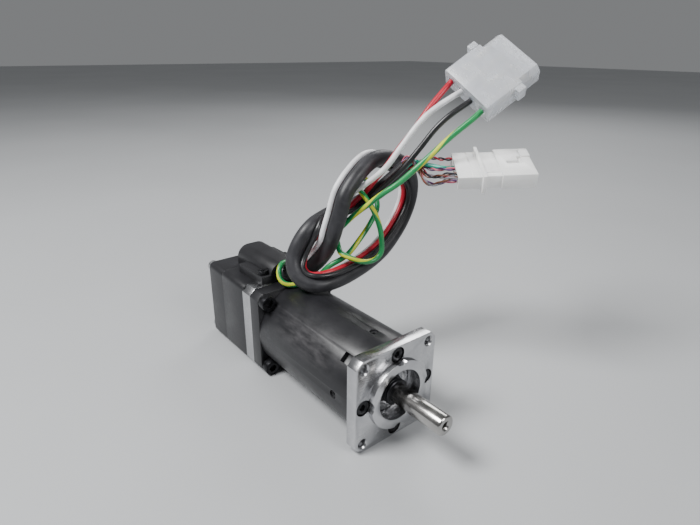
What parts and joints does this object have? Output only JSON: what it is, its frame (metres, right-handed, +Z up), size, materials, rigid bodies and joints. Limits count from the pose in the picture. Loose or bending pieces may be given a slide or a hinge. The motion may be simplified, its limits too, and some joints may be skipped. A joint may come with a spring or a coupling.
{
  "type": "geared servomotor",
  "caption": "Small square-frame servomotor with an in-line planetary gearhead, plain round output shaft and loose power and encoder leads ending in two plug-in connectors.",
  "frame": {"origin": "centre of the output flange's front face, on the shaft axis", "axes": "+X along the output shaft, pointing out of the gearhead; +Z up, the side the leads leave from; +Y completes a right-handed frame"},
  "size_m": [0.1454, 0.1039, 0.147],
  "materials": {
    "plated_steel": "bright plated, faint machining marks",
    "black_screws": "black oxide",
    "seal_rubber": "matte",
    "bearing_steel": "ground",
    "black_paint": "semi-gloss black coating, worn at the corners",
    "plug_plastic": "matte",
    "gear_steel": "hobbed",
    "zinc_screws": "zinc plated",
    "lamination_steel": "stacked sheets",
    "winding_copper": "enamelled",
    "circuit_board": "solder mask",
    "outlet_plastic": "fine textured moulding",
    "jacket_black": "satin jacket",
    "insulation_red": "satin",
    "insulation_white": "satin",
    "insulation_black": "satin",
    "insulation_green": "green with a yellow stripe",
    "signal_wires": "several colours of thin insulation",
    "clear_nylon": "translucent natural nylon",
    "contact_brass": "stamped",
    "white_plastic": "opaque moulded",
    "ground_steel": "ground",
    "magnet": "nickel plated",
    "machined_aluminium": "turned",
    "disc_glass": "clear disc with fine marks"
  },
  "bodies": {
    "drive_unit": {"output_flange": "plated_steel", "flange_screws": "black_screws", "oil_seal": "seal_rubber", "output_bearing_outer_rings": "bearing_steel", "bearing_spacer": "machined_aluminium", "bearing_circlip": "black_screws", "gearhead_housing": "black_paint", "access_plugs": "plug_plastic", "ring_gear": "gear_steel", "adapter_flange": "black_paint", "adapter_screws": "black_screws", "motor_bracket": "plated_steel", "motor_case": "black_paint", "rear_cover": "black_paint", "rear_cover_screws": "zinc_screws", "stator_core": "lamination_steel", "stator_windings": "winding_copper", "rear_bearing_plate": "plated_steel", "motor_bearing_outer_rings": "bearing_steel", "preload_washer": "zinc_screws", "encoder_board": "circuit_board", "encoder_standoffs": "zinc_screws", "encoder_sensor": "plug_plastic", "cable_outlet": "outlet_plastic", "outlet_screws": "black_screws", "cable_grommet": "seal_rubber", "encoder_cable": "jacket_black", "red_core": "insulation_red", "white_core": "insulation_white", "black_core": "insulation_black", "earth_core": "insulation_green", "encoder_wires": "signal_wires", "power_connector": "clear_nylon", "power_contacts": "contact_brass", "encoder_connector": "white_plastic"},
    "rotor": {"rotor_shaft": "ground_steel", "rotor_core": "lamination_steel", "rotor_magnets": "magnet", "motor_bearing_inner_rings": "bearing_steel", "motor_bearing_balls": "bearing_steel", "input_coupling": "machined_aluminium", "coupling_screw": "black_screws", "input_sun_gear": "gear_steel", "encoder_hub": "machined_aluminium", "encoder_disc": "disc_glass"},
    "first_carrier": {"first_carrier": "gear_steel", "first_planet_pins": "ground_steel", "output_sun_gear": "gear_steel"},
    "output": {"output_shaft": "ground_steel", "output_planet_pins": "ground_steel", "output_bearing_inner_rings": "bearing_steel", "output_bearing_balls": "bearing_steel", "shaft_snap_ring": "black_screws"},
    "first_planet_1": {"first_planet_1": "gear_steel"},
    "first_planet_2": {"first_planet_2": "gear_steel"},
    "first_planet_3": {"first_planet_3": "gear_steel"},
    "output_planet_1": {"output_planet_1": "gear_steel"},
    "output_planet_2": {"output_planet_2": "gear_steel"},
    "output_planet_3": {"output_planet_3": "gear_steel"}
  },
  "joints": [
    {"name": "rotor_spin", "type": "hinge", "parent": "drive_unit", "child": "rotor", "pos_m": [0, 0, 0], "axis": [1, 0, 0], "continuous": true},
    {"name": "first_carrier_spin", "type": "hinge", "parent": "drive_unit", "child": "first_carrier", "pos_m": [0, 0, 0], "axis": [1, 0, 0], "continuous": true},
    {"name": "output_spin", "type": "hinge", "parent": "drive_unit", "child": "output", "pos_m": [0, 0, 0], "axis": [1, 0, 0], "continuous": true},
    {"name": "first_planet_1_spin", "type": "hinge", "parent": "first_carrier", "child": "first_planet_1", "pos_m": [-0.0537, 0, 0.009], "axis": [1, 0, 0], "continuous": true},
    {"name": "first_planet_2_spin", "type": "hinge", "parent": "first_carrier", "child": "first_planet_2", "pos_m": [-0.0537, -0.00779, -0.0045], "axis": [1, 0, 0], "continuous": true},
    {"name": "first_planet_3_spin", "type": "hinge", "parent": "first_carrier", "child": "first_planet_3", "pos_m": [-0.0537, 0.00779, -0.0045], "axis": [1, 0, 0], "continuous": true},
    {"name": "output_planet_1_spin", "type": "hinge", "parent": "output", "child": "output_planet_1", "pos_m": [-0.0377, 0, 0.009], "axis": [1, 0, 0], "continuous": true},
    {"name": "output_planet_2_spin", "type": "hinge", "parent": "output", "child": "output_planet_2", "pos_m": [-0.0377, -0.00779, -0.0045], "axis": [1, 0, 0], "continuous": true},
    {"name": "output_planet_3_spin", "type": "hinge", "parent": "output", "child": "output_planet_3", "pos_m": [-0.0377, 0.00779, -0.0045], "axis": [1, 0, 0], "continuous": true}
  ],
  "couplings": [
    {"joint": "first_carrier_spin", "follows": "rotor_spin", "ratio": 0.2},
    {"joint": "output_spin", "follows": "rotor_spin", "ratio": 0.04},
    {"joint": "first_planet_1_spin", "follows": "rotor_spin", "ratio": -0.53333},
    {"joint": "first_planet_2_spin", "follows": "rotor_spin", "ratio": -0.53333},
    {"joint": "first_planet_3_spin", "follows": "rotor_spin", "ratio": -0.53333},
    {"joint": "output_planet_1_spin", "follows": "rotor_spin", "ratio": -0.10667},
    {"joint": "output_planet_2_spin", "follows": "rotor_spin", "ratio": -0.10667},
    {"joint": "output_planet_3_spin", "follows": "rotor_spin", "ratio": -0.10667}
  ]
}
